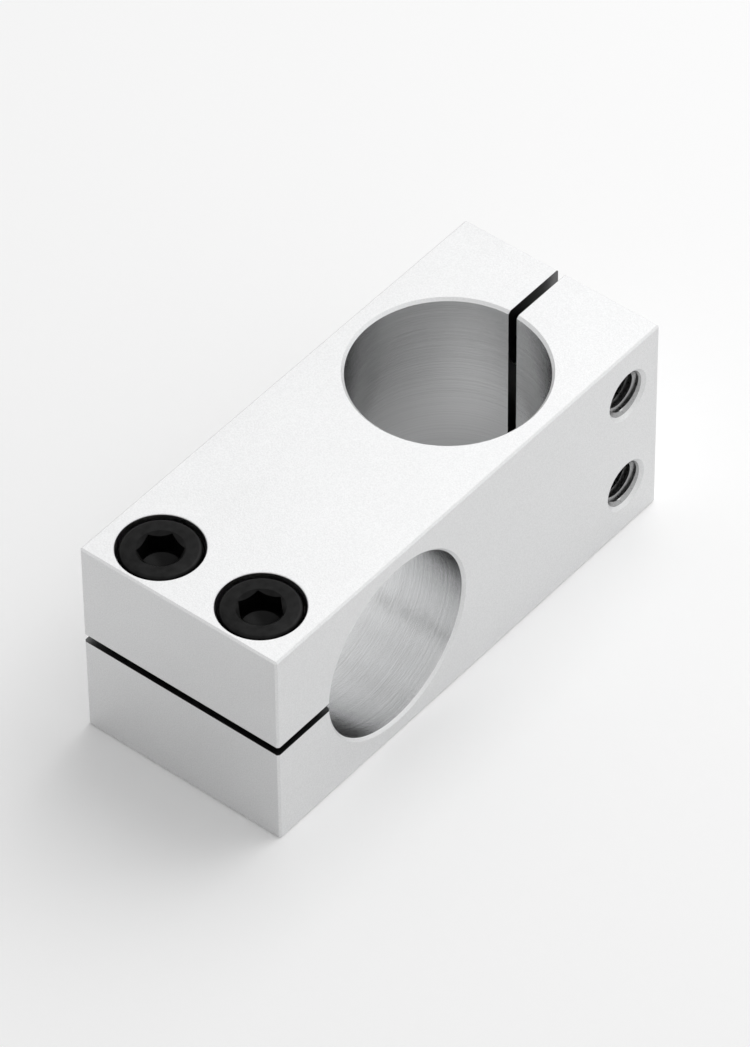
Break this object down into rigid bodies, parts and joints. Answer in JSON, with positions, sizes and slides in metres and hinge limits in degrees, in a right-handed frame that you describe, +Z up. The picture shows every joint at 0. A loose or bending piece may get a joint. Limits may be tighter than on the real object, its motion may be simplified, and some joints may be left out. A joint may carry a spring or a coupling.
{
  "type": "shaft cross clamp",
  "caption": "Split aluminium block that grips round shafts crossing at right angles, with recessed black socket head cap screws that close each slotted bore.",
  "frame": {"origin": "middle of the block's bottom face", "axes": "+X along the block from the cross bore to the upright bore, +Y along the cross bore, +Z up along the upright bore"},
  "size_m": [0.116, 0.048, 0.048],
  "materials": {
    "block": "machined and finely blasted, clear anodised",
    "screw": "black oxide, lightly oiled"
  },
  "bodies": {
    "block": {"clamp_block": "block"},
    "cross_left_screw": {"cross_bore_screw_left": "screw"},
    "cross_right_screw": {"cross_bore_screw_right": "screw"},
    "upright_upper_screw": {"upright_bore_screw_upper": "screw"},
    "upright_lower_screw": {"upright_bore_screw_lower": "screw"}
  },
  "joints": [
    {"name": "cross_left_screw_turn", "type": "hinge", "parent": "block", "child": "cross_left_screw", "pos_m": [-0.04825, 0.01225, 0.0377], "axis": [0, 0, 1], "range_deg": [0, 3450]},
    {"name": "cross_right_screw_turn", "type": "hinge", "parent": "block", "child": "cross_right_screw", "pos_m": [-0.04825, -0.01225, 0.0377], "axis": [0, 0, 1], "range_deg": [0, 3450]},
    {"name": "upright_upper_screw_turn", "type": "hinge", "parent": "block", "child": "upright_upper_screw", "pos_m": [0.04825, 0.0137, 0.03625], "axis": [0, 1, 0], "range_deg": [0, 3450]},
    {"name": "upright_lower_screw_turn", "type": "hinge", "parent": "block", "child": "upright_lower_screw", "pos_m": [0.04825, 0.0137, 0.01175], "axis": [0, 1, 0], "range_deg": [0, 3450]}
  ]
}
